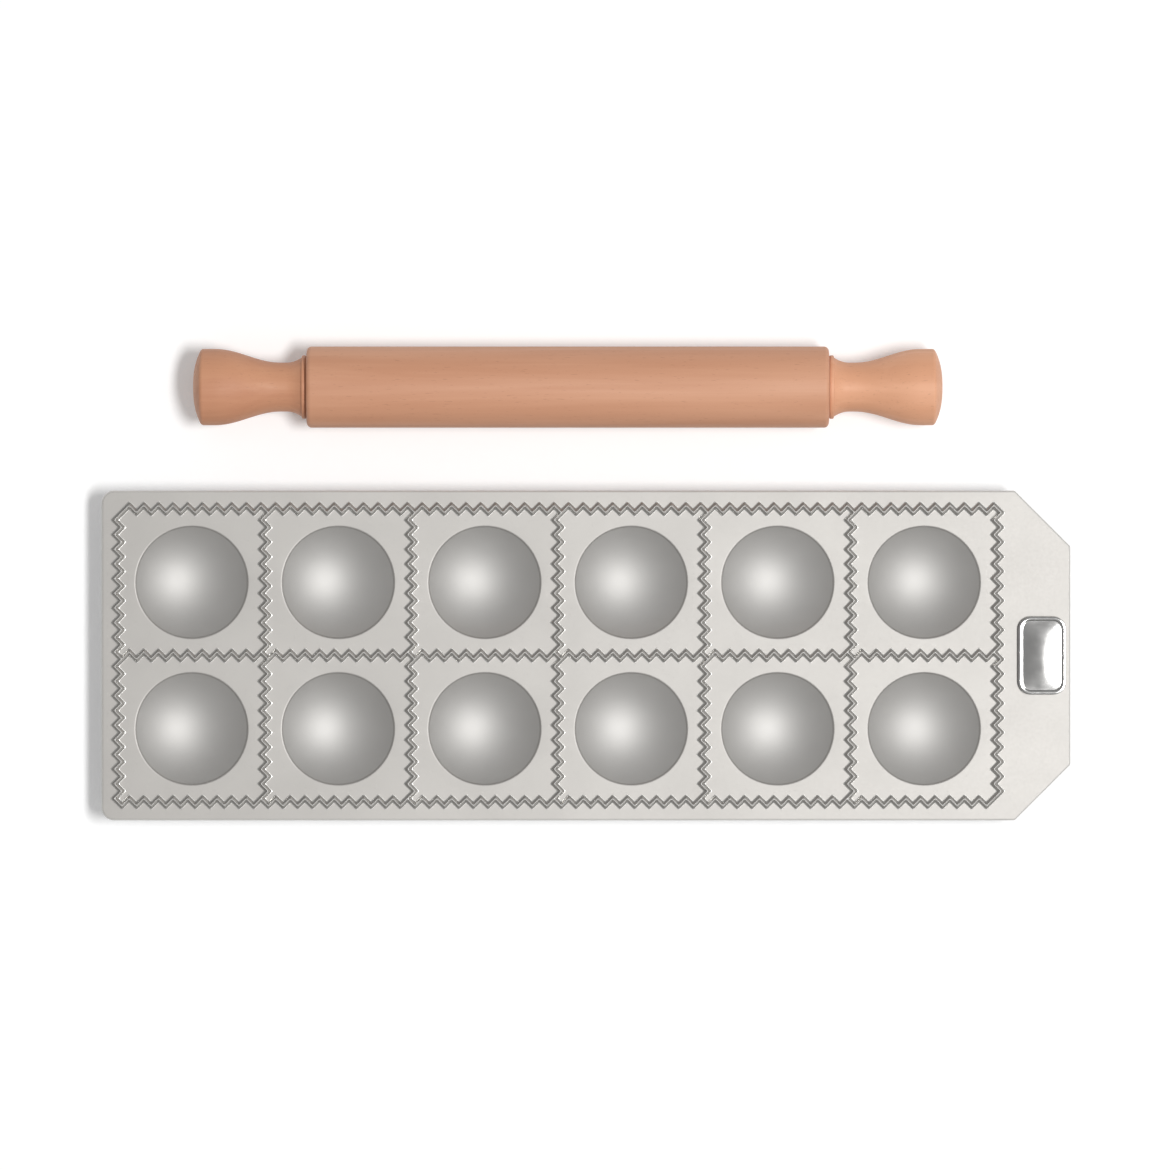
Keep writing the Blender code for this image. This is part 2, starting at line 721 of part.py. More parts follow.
clear_scene()
PARTS = add_collection("ravioli_mould")
TOOLS = add_collection("cutters")
ALUMINIUM = finish("cast_aluminium", (0.62, 0.61, 0.60), 0.38, 1.0)
CHROME = finish("chromed_steel", (0.78, 0.78, 0.79), 0.12, 1.0)
ZINC = finish("zinc_plated_steel", (0.55, 0.56, 0.57), 0.35, 1.0)
STEEL = finish("bright_steel", (0.60, 0.60, 0.60), 0.25, 1.0)
RUBBER = finish("black_rubber", (0.02, 0.02, 0.02), 0.80, 0.0)
BEECH = finish("beech", (0.66, 0.36, 0.21), 0.50, 0.0)
NYLON = finish("nylon", (0.78, 0.76, 0.70), 0.45, 0.0)

TRAY = add_anchor("tray", (0, TRAY_Y, 0))
make_plate(TRAY)
make_base(TRAY)
make_feet(TRAY)
make_screws(TRAY)
make_badge(TRAY)
make_clips(TRAY)

PIN = add_anchor("rolling_pin", (PIN_SHIFT, PIN_Y, BARREL_RADIUS))
make_barrel(PIN)
make_bushes(PIN)
make_axle(PIN)
make_handles(PIN)
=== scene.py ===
"""Ravioli mould with its small rolling pin: the looks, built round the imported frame.

Metres, +Z up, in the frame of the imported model. +X runs along the tray towards the badge, and +Y
from the tray towards the rolling pin.
"""

import math

import bmesh
import bpy
from mathutils import Matrix, Vector
from mathutils.geometry import delaunay_2d_cdt


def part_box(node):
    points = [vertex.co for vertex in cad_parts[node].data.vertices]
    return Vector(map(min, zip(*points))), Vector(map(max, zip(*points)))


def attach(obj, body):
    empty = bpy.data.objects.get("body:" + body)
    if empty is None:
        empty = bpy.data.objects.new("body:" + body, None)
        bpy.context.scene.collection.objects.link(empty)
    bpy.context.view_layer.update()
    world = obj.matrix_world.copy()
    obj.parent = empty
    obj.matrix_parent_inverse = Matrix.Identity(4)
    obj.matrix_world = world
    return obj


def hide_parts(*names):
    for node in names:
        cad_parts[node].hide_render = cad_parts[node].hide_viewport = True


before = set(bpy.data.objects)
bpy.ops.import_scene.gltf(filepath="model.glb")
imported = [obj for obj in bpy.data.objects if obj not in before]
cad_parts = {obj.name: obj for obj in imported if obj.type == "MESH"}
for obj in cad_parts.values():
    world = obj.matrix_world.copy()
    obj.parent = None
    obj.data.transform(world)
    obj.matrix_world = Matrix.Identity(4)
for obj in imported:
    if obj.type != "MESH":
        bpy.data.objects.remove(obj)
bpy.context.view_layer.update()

# Clearance and small roundings
GAP = 0.0003
HOLE_EDGE = 0.00015
LEAST_CORNER = 0.00005

# Pattern of the tray
COLUMNS = 6
ROWS = 2
CELL = 0.0460
SCREW_LINES = range(1, COLUMNS, 2)
TEETH_PER_CELL = 10
TOOTH_REACH = CELL / TEETH_PER_CELL / 4
RIDGE_HEIGHT = 0.0019
RIDGE_BASE = 0.0014
RIDGE_CREST = 0.0003
RIDGE_FOOT = 0.0004
TOOTH_ROUND = 0.0004
END_MARGIN = 0.0053

# Tray
TONGUE_CUT = 0.0175
TONGUE_CORNER = 0.0008
TRAY_CORNER = 0.0040
PLATE = 0.0025
PLATE_EDGE = 0.0006
PLATE_UNDER_EDGE = 0.0005
BOWL_DIAMETER = 0.0352
BOWL_DEPTH = 0.0085
BOWL_RIM = 0.0009
CUP_WALL = 0.0018
CUP_FILLET = 0.0012
BOSS_RADIUS = 0.0040
BOSS_FILLET = 0.0006
BOSS_FROM_EDGE = 0.0108
SCREW_HOLE = 0.0018
SCREW_ROOF = 0.0010
PIN_HOLE = 0.0013
PIN_SPACING = 0.0150

# Steel base
SHEET = 0.0010
BEND = 0.0015
BASE_CORNER = 0.0040
LIP = 0.0030
FOOT_TAB = 0.0180
TAB_ROUND = 0.0020
FOOT_INSET = 0.0080
FOOT_HOLE = 0.0026
BOSS_HOLE = 0.0043
CUP_CLEARANCE = 0.0006
WINDOW_CORNER = 0.0120

# Feet, screws and clips
FOOT_PAD = 0.0020
FOOT_EDGE = 0.0006
FOOT_NECK = 0.0023
FOOT_HEAD = 0.0036
FOOT_TIP = 0.0020
SCREW_SHANK = 0.0015
SCREW_HEAD = 0.0016
SCREW_EDGE = 0.0005
SLOT_WIDTH = 0.0010
SLOT_DEPTH = 0.0008
CLIP_BORE = 0.0013
CLIP_COLLAR = 0.0019
CLIP_THICKNESS = 0.0004
CLIP_EDGE = 0.0001

# Badge
BADGE_SEAT = 0.00002
BADGE_CORNER = 0.0040
BADGE_RIM = 0.0011
BADGE_EDGE = 0.0003
BADGE_RECESS = 0.0005
BADGE_SLOPE = 0.0002
BADGE_CROWN = 0.0005
CROWN_STRETCH = 0.0005
BADGE_PIN = 0.0010

# Rolling pin
BARREL_EDGE = 0.0015
AXLE_RADIUS = 0.0030
AXLE_BORE = AXLE_RADIUS + GAP
AXLE_EDGE = 0.0004
BUSH_RADIUS = 0.0050
BUSH_LENGTH = 0.0100
BUSH_FLANGE = 0.0012
BUSH_EDGE = 0.0002
HANDLE_BORE = 0.0219
COLLAR_RADIUS = 0.0100
COLLAR_LENGTH = 0.0012
COLLAR_EDGE = 0.00015
COLLAR_ROUND = 0.0005
SHOULDER_RADIUS = 0.0098
SHOULDER = 0.0003
FLARE_RADIUS = 0.0093
FLARE_END = 0.0060
NECK_RADIUS = 0.0077
NECK_AT = 0.0078
SWELL_AT = 0.0285
TIP_DOME = 0.0026
TIP_EDGE = 0.0012
TIP_POWER = 2.6

# Fineness of the meshes
MERGE = 0.000002
FILL_LIMIT = 0.0000001
FILL_INSIDE = 1
EDGE_STEPS = 3
TOOTH_STEPS = 3
ARC_STEPS = 4
CORNER_STEPS = 8
BOWL_SEGMENTS = 72
BOWL_RINGS = 22
DOME_STEPS = 14
CROWN_STEPS = 12
SMALL_SEGMENTS = 40
PIN_SEGMENTS = 96
CURVE_STEPS = 20
FLARE_STEPS = 10
SMOOTH_ANGLE = math.radians(50)

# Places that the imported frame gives
TRAY_LOW, TRAY_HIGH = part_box("mould_plate")
BASE_LOW, BASE_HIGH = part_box("base_frame")
BADGE_LOW, BADGE_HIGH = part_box("badge")
BARREL_LOW, BARREL_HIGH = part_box("pin_barrel")
BUSH_LOW, BUSH_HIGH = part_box("bush_right")
TRAY_Y = (TRAY_LOW.y + TRAY_HIGH.y) / 2
TRAY_SIDE = (TRAY_HIGH.y - TRAY_LOW.y) / 2
PATTERN_LEFT = TRAY_LOW.x + END_MARGIN
PATTERN_MIDDLE = PATTERN_LEFT + COLUMNS * CELL / 2
PLATE_HIGH = TRAY_HIGH.z - RIDGE_HEIGHT
PLATE_LOW = PLATE_HIGH - PLATE
PIN_MIDDLE = (BARREL_LOW + BARREL_HIGH) / 2
BARREL_END = (BARREL_HIGH.x - BARREL_LOW.x) / 2
BARREL_RADIUS = (BARREL_HIGH.z - BARREL_LOW.z) / 2
FLANGE_RADIUS = (BUSH_HIGH.z - BUSH_LOW.z) / 2

# Bowls: one sphere for the hollow and one for the outside of the cup, about the same centre
BOWL_RADIUS = ((BOWL_DIAMETER / 2) ** 2 + BOWL_DEPTH ** 2) / (2 * BOWL_DEPTH)
BOWL_CENTRE_Z = PLATE_HIGH - BOWL_DEPTH + BOWL_RADIUS
CUP_RADIUS = BOWL_RADIUS + CUP_WALL
CUP_REACH = math.sqrt(CUP_RADIUS ** 2 - (BOWL_CENTRE_Z - PLATE_LOW) ** 2)

# Finish of the casting, by distance from the plate's face or, for the crest, from a ridge's top
BURNISH_FROM = 0.0001
BURNISH_FULL = 0.0006
# The plate's rounded edge: worn, and also painted lighter as painted light against its shade
WEAR_AND_LIGHT_FROM = 0.000005
WEAR_AND_LIGHT_FULL = 0.00006
FLANK_FROM = 0.000003
FLANK_FULL = 0.00003
CREST_FROM = 0.00010
CREST_FULL = 0.00004

# Colours
CAST_DARK = (0.396, 0.383, 0.365, 1)
CAST_PALE = (0.438, 0.424, 0.404, 1)
BOWL_DARK = (0.565, 0.555, 0.54, 1)
BOWL_PALE = (0.61, 0.60, 0.585, 1)
# Worn edge colour, also painted light that lifts the shade of the plate's rounded edge
EDGE_WEAR_AND_LIGHT = (0.75, 0.74, 0.72, 1)
FLANK_COLOUR = (0.68, 0.67, 0.65, 1)
CREST_COLOUR = (0.50, 0.49, 0.475, 1)
ZINC_COLOUR = (0.56, 0.57, 0.58)
CHROME_COLOUR = (0.70, 0.70, 0.71)
STEEL_COLOUR = (0.60, 0.60, 0.60)
SATIN_COLOUR = (0.58, 0.575, 0.565)
RUBBER_BLACK = (0.018, 0.018, 0.018, 1)
RUBBER_DUST = (0.055, 0.053, 0.050, 1)
NYLON_DARK = (0.72, 0.69, 0.61, 1)
NYLON_PALE = (0.82, 0.80, 0.73, 1)
WOOD_FLECK = (0.30, 0.13, 0.07, 1)
FLOOR_COLOUR = (0.90, 0.90, 0.90, 1)

# Grain and roughness
NOISE_LOW = 0.3
NOISE_HIGH = 0.7
GRAIN_SHARE = 0.35
GRAIN_ROUGH = 0.015
CAST_ROUGH = 0.56
BOWL_ROUGH = 0.66
EDGE_ROUGH = 0.85
FLANK_ROUGH = 0.30

# Camera and light
FRAME_WIDTH = 0.3674
CAMERA_PLACE = (-0.0003, -0.0005, 2.6)
SENSOR = 36
KEY_DISTANCE = 2.04
KEY_RIGHT = math.radians(17.2)
KEY_FRONT = math.radians(2.5)
KEY_LENGTH = 0.75
KEY_WIDTH = 0.30
KEY_POWER = 28
WORLD_LEVEL = 0.39
FLOOR_SIZE = 12
FLOOR_WHITE = 0.16


# Outlines and profiles

def round_corner(back, corner, ahead, radius, steps):
    """Points of an arc that rounds a corner between two lines. A zero radius repeats the corner."""
    if radius == 0:
        return [corner.copy() for _ in range(steps + 1)]
    to_back = (back - corner).normalized()
    to_ahead = (ahead - corner).normalized()
    turn = math.pi - to_back.angle(to_ahead)
    centre = corner + (to_back + to_ahead).normalized() * radius / math.cos(turn / 2)
    start = corner + to_back * radius * math.tan(turn / 2) - centre
    side = -1 if to_back.cross(to_ahead) > 0 else 1
    return [centre + Matrix.Rotation(side * turn * step / steps, 2) @ start for step in range(steps + 1)]


def rounded_path(corners, steps, closed):
    """Points through corners (x, y, radius), with an arc where the radius isn't zero."""
    path = []
    count = len(corners)
    for index, (x, y, radius) in enumerate(corners):
        corner = Vector((x, y))
        at_end = not closed and index in (0, count - 1)
        if radius == 0 or at_end:
            path.append(corner)
        else:
            back = Vector(corners[index - 1][:2])
            ahead = Vector(corners[(index + 1) % count][:2])
            path += round_corner(back, corner, ahead, radius, steps)
    return path


def rectangle(left, right, front, back, radius):
    """Rectangle with four equal rounded corners, counter-clockwise."""
    corners = [(left, front, radius), (right, front, radius), (right, back, radius), (left, back, radius)]
    return rounded_path(corners, CORNER_STEPS, closed=True)


def divided(outline, longest):
    """Outline with further points on each stretch that is longer than a limit."""
    points = []
    for index, point in enumerate(outline):
        ahead = outline[(index + 1) % len(outline)]
        parts = math.ceil((ahead - point).length / longest)
        points += [point.lerp(ahead, step / parts) for step in range(parts)]
    return points


def circle(x, y, radius, segments):
    """Circle about a point, counter-clockwise."""
    turns = [2 * math.pi * step / segments for step in range(segments)]
    return [Vector((x + radius * math.cos(turn), y + radius * math.sin(turn))) for turn in turns]


def offset_outline(outline, distance):
    """Outline moved out by a distance, or in where it is negative, with its corners kept."""
    moved = []
    for index, point in enumerate(outline):
        before = (point - outline[index - 1]).normalized()
        after = (outline[(index + 1) % len(outline)] - point).normalized()
        normal_before = Vector((before.y, -before.x))
        normal_after = Vector((after.y, -after.x))
        scale = distance / (1 + normal_before.dot(normal_after))
        moved.append(point + (normal_before + normal_after) * scale)
    return moved


def toothed_outline(columns, rows):
    """Crest line round a block of cells about its middle, counter-clockwise.

    The second half is the first one turned half round. The long edge that cuts a corner has
    a point in its middle, where the crest line between two cells can meet it.
    """
    width = columns * CELL
    depth = rows * CELL
    half = []
    for step in range(2 * columns * TEETH_PER_CELL - 1):
        side = TOOTH_REACH if step % 2 else -TOOTH_REACH
        half.append(Vector((-width / 2 + (2 * step + 1) * TOOTH_REACH, -depth / 2 + side)))
    half.append(Vector((width / 2 - TOOTH_REACH, -depth / 2 + TOOTH_REACH)))
    for step in range(2 * rows * TEETH_PER_CELL - 1):
        side = -TOOTH_REACH if step % 2 else TOOTH_REACH
        half.append(Vector((width / 2 + side, -depth / 2 + (2 * step + 3) * TOOTH_REACH)))
    return half + [-point for point in half]


def meets_others(point, columns, rows):
    """Whether crest lines of several cells meet at this point of a toothed outline."""
    along = (point.x + columns * CELL / 2) / CELL
    across = (point.y + rows * CELL / 2) / CELL
    x = (along - round(along)) * CELL
    y = (across - round(across)) * CELL
    return abs(x + y) < MERGE and abs(abs(x) - TOOTH_REACH) < MERGE


def toothed_level(columns, rows, inset):
    """Toothed outline moved in by an inset, or out where it is negative, with slightly rounded teeth."""
    outline = toothed_outline(columns, rows)
    moved = offset_outline(outline, -inset)
    level = []
    for index, point in enumerate(outline):
        ahead = (index + 1) % len(outline)
        turn = (point - outline[index - 1]).cross(outline[ahead] - point)
        # The point in the middle of a long edge is no corner
        if abs(turn) < MERGE ** 2:
            level.append(moved[index])
            continue
        radius = 0 if inset == 0 and meets_others(point, columns, rows) else TOOTH_ROUND
        level += round_corner(moved[index - 1], moved[index], moved[ahead], radius, TOOTH_STEPS)
    return level


def ridge_profile():
    """Inset from the crest line and height above the plate, down one flank of a ridge."""
    flank = math.atan2(RIDGE_HEIGHT, (RIDGE_BASE - RIDGE_CREST) / 2)
    crest_round = RIDGE_CREST / 2 / math.tan(flank / 2)
    corners = [
        (0, RIDGE_HEIGHT, 0),
        (RIDGE_CREST / 2, RIDGE_HEIGHT, crest_round),
        (RIDGE_BASE / 2, 0, RIDGE_FOOT),
        (RIDGE_BASE / 2 + RIDGE_FOOT, 0, 0)]
    return rounded_path(corners, TOOTH_STEPS, closed=False)[1:]


def sphere_profile(radius, plane_z, blend):
    """Radius and height down a sphere cap below a plane, from a blend into that plane to the pole."""
    drop = BOWL_CENTRE_Z - plane_z + blend
    reach = math.sqrt((radius + blend) ** 2 - drop ** 2)
    edge = math.atan2(reach, drop)
    profile = []
    for step in range(ARC_STEPS):
        angle = edge * step / ARC_STEPS
        profile.append(Vector((reach - blend * math.sin(angle), plane_z - blend * (1 - math.cos(angle)))))
    for step in range(BOWL_RINGS + 1):
        angle = edge * (1 - step / BOWL_RINGS)
        profile.append(Vector((radius * math.sin(angle), BOWL_CENTRE_Z - radius * math.cos(angle))))
    return profile


# Meshes

def add_ring(shape, outline, z, x=0, y=0):
    """Vertices of an outline at a height, moved by x and y."""
    return [shape.verts.new((x + point.x, y + point.y, z)) for point in outline]


def bridge(shape, rings):
    """Bands of faces between rings of the same count."""
    for first, second in zip(rings, rings[1:]):
        for index in range(len(first)):
            shape.faces.new((first[index - 1], first[index], second[index], second[index - 1]))


def is_inside(point, ring):
    """Whether a point lies inside a ring of vertices, seen from above."""
    crossings = 0
    for index in range(len(ring)):
        first, second = ring[index - 1].co, ring[index].co
        if (first.y > point.y) != (second.y > point.y):
            share = (point.y - first.y) / (second.y - first.y)
            crossings += first.x + (second.x - first.x) * share > point.x
    return crossings % 2 == 1


def fill(shape, rings):
    """Flat triangles between an outer ring and the rings of the holes inside it."""
    corners = [corner for ring in rings for corner in ring]
    owners = [number for number, ring in enumerate(rings) for _ in ring]
    edges = []
    for ring in rings:
        start = len(edges)
        edges += [(start + index, start + (index + 1) % len(ring)) for index in range(len(ring))]
    flat = [corner.co.to_2d() for corner in corners]
    _, _, triangles, origins, _, _ = delaunay_2d_cdt(flat, edges, [], FILL_INSIDE, FILL_LIMIT)
    for triangle in triangles:
        picked = [origins[index][0] for index in triangle]
        owner = owners[picked[0]]
        middle = sum((flat[index] for index in picked), Vector((0, 0))) / len(picked)
        same_ring = all(owners[index] == owner for index in picked)
        # Triangles that lie in a hole are left out
        if not (owner and same_ring and is_inside(middle, rings[owner])):
            shape.faces.new([corners[index] for index in picked])


def add_fan(shape, ring, pole):
    """Triangles between a ring and a pole."""
    for index in range(len(ring)):
        shape.faces.new((ring[index - 1], ring[index], pole))


def add_turned(shape, profile, segments, x=0, y=0):
    """Surface turned about an upright axis from a profile (radius, height), with its poles closed."""
    rings = []
    for radius, height in profile:
        if radius < MERGE:
            rings.append([shape.verts.new((x, y, height))])
        else:
            rings.append(add_ring(shape, circle(x, y, radius, segments), height))
    for first, second in zip(rings, rings[1:]):
        if len(first) == len(second):
            bridge(shape, [first, second])
        elif len(first) == 1:
            add_fan(shape, second, first[0])
        else:
            add_fan(shape, first, second[0])
    return rings


def edge_profile(low, high, lower_edge, upper_edge, steps):
    """Distance from a wall and height, down the rounded edges of a sheet."""
    corners = [
        (2 * upper_edge, high, 0),
        (0, high, upper_edge),
        (0, low, lower_edge),
        (2 * lower_edge, low, 0)]
    return rounded_path(corners, steps, closed=False)[1:-1]


def add_hole(shape, outline, low, high):
    """Wall of a hole through a sheet, with its upper and its lower ring just outside the hole."""
    rings = []
    for distance, z in edge_profile(low, high, HOLE_EDGE, HOLE_EDGE, EDGE_STEPS):
        rings.append(add_ring(shape, offset_outline(outline, distance), z))
    bridge(shape, rings)
    return rings[0], rings[-1]


def finish_mesh(name, shape):
    """Mesh of a closed shape, welded, with outward faces and smooth shading."""
    bmesh.ops.remove_doubles(shape, verts=shape.verts, dist=MERGE)
    bmesh.ops.recalc_face_normals(shape, faces=shape.faces)
    mesh = bpy.data.meshes.new(name)
    shape.to_mesh(mesh)
    shape.free()
    mesh.shade_smooth()
    mesh.set_sharp_from_angle(angle=SMOOTH_ANGLE)
    return mesh


def turned_mesh(name, corners, steps, segments):
    """Closed mesh turned about Z, from the corners (radius, height, rounding) of its profile."""
    shape = bmesh.new()
    closed = corners[0][0] > MERGE
    rings = add_turned(shape, rounded_path(corners, steps, closed), segments)
    if closed:
        bridge(shape, [rings[-1], rings[0]])
    return finish_mesh(name, shape)


def add_object(name, data):
    """Object of a mesh, a camera or a light, in the scene."""
    item = bpy.data.objects.new(name, data)
    bpy.context.scene.collection.objects.link(item)
    return item


def add_piece(name, mesh, material, body, nodes, place=(0, 0, 0), rotation=(0, 0, 0)):
    """Piece that rides on a body and stands for CAD nodes."""
    mesh.materials.clear()
    mesh.materials.append(material)
    piece = add_object(name, mesh)
    piece.location = place
    piece.rotation_euler = rotation
    weighted = piece.modifiers.new("normals", "WEIGHTED_NORMAL")
    weighted.keep_sharp = True
    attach(piece, body)
    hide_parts(*nodes)


# Materials

def add_node(tree, kind, inputs=None, **properties):
    """Shader node with its properties, and its inputs set or linked by name or number."""
    item = tree.nodes.new(kind)
    for key, value in properties.items():
        setattr(item, key, value)
    for key, value in (inputs or {}).items():
        if isinstance(value, bpy.types.NodeSocket):
            tree.links.new(value, item.inputs[key])
        else:
            item.inputs[key].default_value = value
    return item


def start_material(name, metallic, **constants):
    """Material with a Principled shader, its constants set on the shader's own sockets."""
    material = bpy.data.materials.new(name)
    material.use_nodes = True
    tree = material.node_tree
    shader = tree.nodes["Principled BSDF"]
    shader.inputs["Metallic"].default_value = metallic
    for key, value in constants.items():
        shader.inputs[key.replace("_", " ")].default_value = value
    place = add_node(tree, "ShaderNodeTexCoord").outputs["Object"]
    return material, tree, shader, place


def noise(tree, place, scale, detail=3, roughness=0.55, distortion=0):
    """Value of a noise texture at a place."""
    inputs = {
        "Vector": place, "Scale": scale, "Detail": detail, "Roughness": roughness, "Distortion": distortion}
    return add_node(tree, "ShaderNodeTexNoise", inputs).outputs["Fac"]


def stretch(tree, place, scale, shift=(0, 0, 0)):
    """Place scaled by axis, for grain that runs one way."""
    inputs = {"Vector": place, "Scale": scale, "Location": shift}
    return add_node(tree, "ShaderNodeMapping", inputs).outputs["Vector"]


def span(tree, value, low, high, new_low, new_high, smooth=False):
    """Value mapped from one range to another, and held inside it."""
    inputs = {"Value": value, 1: low, 2: high, 3: new_low, 4: new_high}
    kind = "SMOOTHSTEP" if smooth else "LINEAR"
    return add_node(tree, "ShaderNodeMapRange", inputs, interpolation_type=kind).outputs["Result"]


def spread(tree, value, low, high):
    """Noise mapped from its usual range to a new one."""
    return span(tree, value, NOISE_LOW, NOISE_HIGH, low, high)


def maths(tree, operation, first, second):
    """Two values put together by an operation."""
    return add_node(tree, "ShaderNodeMath", {0: first, 1: second}, operation=operation).outputs[0]


def mix_colours(tree, factor, first, second):
    """Colour between two colours."""
    inputs = {0: factor, 6: first, 7: second}
    return add_node(tree, "ShaderNodeMix", inputs, data_type="RGBA").outputs[2]


def mix_values(tree, factor, first, second):
    """Value between two values."""
    return add_node(tree, "ShaderNodeMix", {0: factor, 2: first, 3: second}, data_type="FLOAT").outputs[0]


def add_bump(tree, shader, height, strength, distance):
    """Relief from a height, on the shader's normal."""
    bump = add_node(tree, "ShaderNodeBump", {"Height": height, "Strength": strength, "Distance": distance})
    tree.links.new(bump.outputs["Normal"], shader.inputs["Normal"])


def link(tree, value, shader, name):
    """Value or colour linked to an input of the shader."""
    tree.links.new(value, shader.inputs[name])


def casting_masks(tree, place):
    """Masks for a bowl, the plate's rounded edge, a ridge's flanks and its crest."""
    x, y, z = add_node(tree, "ShaderNodeSeparateXYZ", {"Vector": place}).outputs
    beside = maths(tree, "ABSOLUTE", maths(tree, "SUBTRACT", x, PATTERN_MIDDLE), 0)
    behind = maths(tree, "ABSOLUTE", maths(tree, "SUBTRACT", y, TRAY_Y), 0)
    outside = maths(
        tree, "MAXIMUM", maths(tree, "SUBTRACT", beside, COLUMNS * CELL / 2),
        maths(tree, "SUBTRACT", behind, ROWS * CELL / 2))
    border = span(tree, outside, 0, TOOTH_REACH, 0, 1)
    above = maths(tree, "SUBTRACT", z, PLATE_HIGH)
    sunk = span(tree, above, -BURNISH_FULL, -BURNISH_FROM, 1, 0, smooth=True)
    # Mask of the rounded edge, which is worn and also painted lighter as painted light
    worn_and_lit = span(tree, above, -WEAR_AND_LIGHT_FULL, -WEAR_AND_LIGHT_FROM, 1, 0)
    in_bowl = maths(tree, "MULTIPLY", sunk, maths(tree, "SUBTRACT", 1, border))
    on_edge = maths(tree, "MULTIPLY", worn_and_lit, border)
    on_flank = span(tree, above, FLANK_FROM, FLANK_FULL, 0, 1, smooth=True)
    on_crest = span(tree, above, RIDGE_HEIGHT - CREST_FROM, RIDGE_HEIGHT - CREST_FULL, 0, 1)
    return in_bowl, on_edge, on_flank, on_crest


def make_cast_aluminium():
    """Satin cast aluminium: a fine sand grain, brighter bowls and ridges, and a worn edge that is also
    painted lighter, as painted light against the shade of its rounding.
    """
    material, tree, shader, place = start_material("cast_aluminium", metallic=1)
    in_bowl, on_edge, on_flank, on_crest = casting_masks(tree, place)
    grain = noise(tree, place, scale=1500, detail=4)
    mottle = noise(tree, place, scale=45, detail=2)
    lines = noise(tree, stretch(tree, place, (90, 2600, 900)), scale=1, detail=2)

    tone = spread(tree, mix_values(tree, GRAIN_SHARE, mottle, grain), 0, 1)
    cast = mix_colours(tree, tone, CAST_DARK, CAST_PALE)
    burnished = mix_colours(tree, tone, BOWL_DARK, BOWL_PALE)
    colour = mix_colours(tree, in_bowl, cast, burnished)
    # Painted light on the plate's rounded edge, besides its wear
    colour = mix_colours(tree, on_edge, colour, EDGE_WEAR_AND_LIGHT)
    colour = mix_colours(tree, on_flank, colour, FLANK_COLOUR)
    colour = mix_colours(tree, on_crest, colour, CREST_COLOUR)
    link(tree, colour, shader, "Base Color")

    rough = mix_values(tree, in_bowl, CAST_ROUGH, BOWL_ROUGH)
    rough = mix_values(tree, on_flank, rough, FLANK_ROUGH)
    rough = mix_values(tree, on_crest, rough, CAST_ROUGH)
    rough = mix_values(tree, on_edge, rough, EDGE_ROUGH)
    rough = maths(tree, "ADD", rough, spread(tree, grain, -GRAIN_ROUGH, GRAIN_ROUGH))
    link(tree, rough, shader, "Roughness")
    relief = maths(tree, "ADD", grain, maths(tree, "MULTIPLY", lines, 0.5))
    add_bump(tree, shader, relief, strength=0.05, distance=0.00002)
    return material


def make_plated(name, colour, least_rough, most_rough, scale):
    """Plated or drawn metal: faint clouds in its tone and gloss, and hair scratches."""
    material, tree, shader, place = start_material(name, metallic=1)
    cloud = noise(tree, place, scale)
    dark = tuple(0.9 * part for part in colour)
    tone = mix_colours(tree, span(tree, cloud, 0.35, 0.65, 0, 1), (*dark, 1), (*colour, 1))
    link(tree, tone, shader, "Base Color")
    scratch = noise(tree, stretch(tree, place, (300, 5000, 1200)), scale=1, detail=2)
    rough = spread(tree, cloud, least_rough, most_rough)
    rough = maths(tree, "ADD", rough, span(tree, scratch, 0.6, 0.8, 0, 0.05))
    link(tree, rough, shader, "Roughness")
    add_bump(tree, shader, scratch, strength=0.08, distance=0.00001)
    return material


def make_rubber():
    """Black rubber with a fine matt grain and some dust."""
    material, tree, shader, place = start_material("black_rubber", metallic=0)
    grain = noise(tree, place, scale=2500)
    dust = noise(tree, place, scale=260)
    tone = mix_colours(tree, span(tree, dust, 0.45, 0.75, 0, 1), RUBBER_BLACK, RUBBER_DUST)
    link(tree, tone, shader, "Base Color")
    link(tree, spread(tree, grain, 0.65, 0.85), shader, "Roughness")
    add_bump(tree, shader, grain, strength=0.4, distance=0.00004)
    return material


def make_nylon():
    """Natural nylon, slightly cloudy, with a fine moulded grain."""
    material, tree, shader, place = start_material("nylon", metallic=0)
    cloud = noise(tree, place, scale=200, detail=2)
    link(tree, mix_colours(tree, cloud, NYLON_DARK, NYLON_PALE), shader, "Base Color")
    link(tree, spread(tree, cloud, 0.38, 0.50), shader, "Roughness")
    add_bump(tree, shader, noise(tree, place, scale=1800), strength=0.2, distance=0.00002)
    return material


def make_beech(name, shift, pale, brown, light):
    """Turned beech: growth layers along the axis, short dark flecks and faint tool marks."""
    material, tree, shader, place = start_material(name, metallic=0, Specular_IOR_Level=0.35)
    layers = noise(tree, stretch(tree, place, (42, 42, 5), shift), scale=1, distortion=0.6)
    fibre = noise(tree, stretch(tree, place, (900, 900, 22), shift), scale=1, detail=4, roughness=0.65)
    streak = noise(tree, stretch(tree, place, (190, 190, 9), shift), scale=1, distortion=0.4)
    cells = noise(tree, stretch(tree, place, (2600, 2600, 400), shift), scale=1, detail=1)
    fleck = span(tree, cells, 0.66, 0.74, 0, 1, smooth=True)

    wood = mix_colours(tree, span(tree, layers, 0.36, 0.62, 0, 1, smooth=True), pale, brown)
    wood = mix_colours(tree, span(tree, streak, 0.45, 0.75, 0, 0.5), wood, light)
    wood = mix_colours(tree, span(tree, fibre, 0.35, 0.75, 0, 0.28), wood, brown)
    wood = mix_colours(tree, maths(tree, "MULTIPLY", fleck, 0.25), wood, WOOD_FLECK)
    link(tree, wood, shader, "Base Color")
    link(tree, spread(tree, fibre, 0.48, 0.62), shader, "Roughness")

    marks = noise(tree, stretch(tree, place, (12, 12, 1600), shift), scale=1, detail=2)
    relief = maths(tree, "ADD", fibre, maths(tree, "MULTIPLY", marks, 0.6))
    relief = maths(tree, "SUBTRACT", relief, fleck)
    add_bump(tree, shader, relief, strength=0.25, distance=0.00003)
    return material


